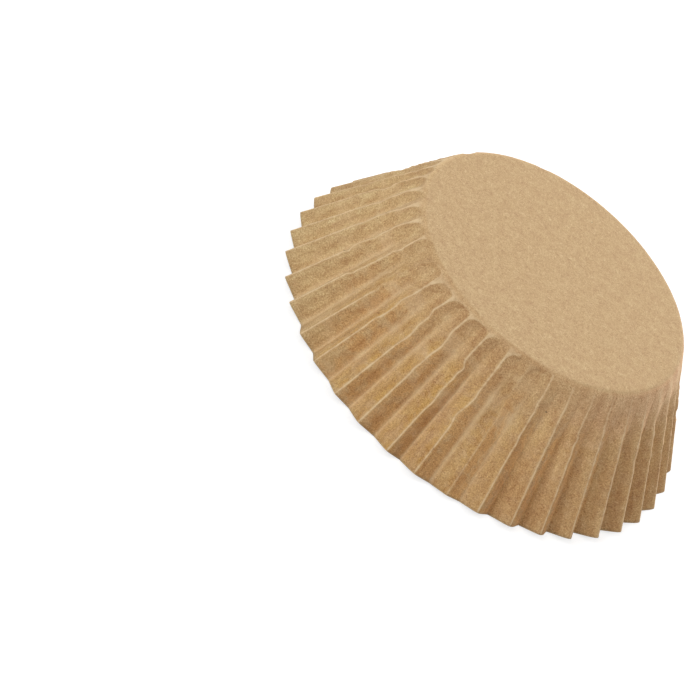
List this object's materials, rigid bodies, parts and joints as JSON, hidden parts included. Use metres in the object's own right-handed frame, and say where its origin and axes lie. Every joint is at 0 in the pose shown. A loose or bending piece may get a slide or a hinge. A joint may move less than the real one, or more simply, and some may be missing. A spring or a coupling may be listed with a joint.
{
  "type": "cupcake liner",
  "caption": "Round paper baking cup with a flat base and a flared wall of sharp radial pleats, standing upside down on its rim.",
  "frame": {"origin": "on the cup's centre line, in the plane that the rim's inner fold tips stand on", "axes": "+Z along the cup's centre line, from the rim towards the base, so the cup is upside down; +X through the crest of a pleat"},
  "size_m": [0.075, 0.075, 0.0225],
  "materials": {
    "kraft_paper": "matte"
  },
  "bodies": {
    "root": {"liner": "kraft_paper"}
  },
  "joints": []
}
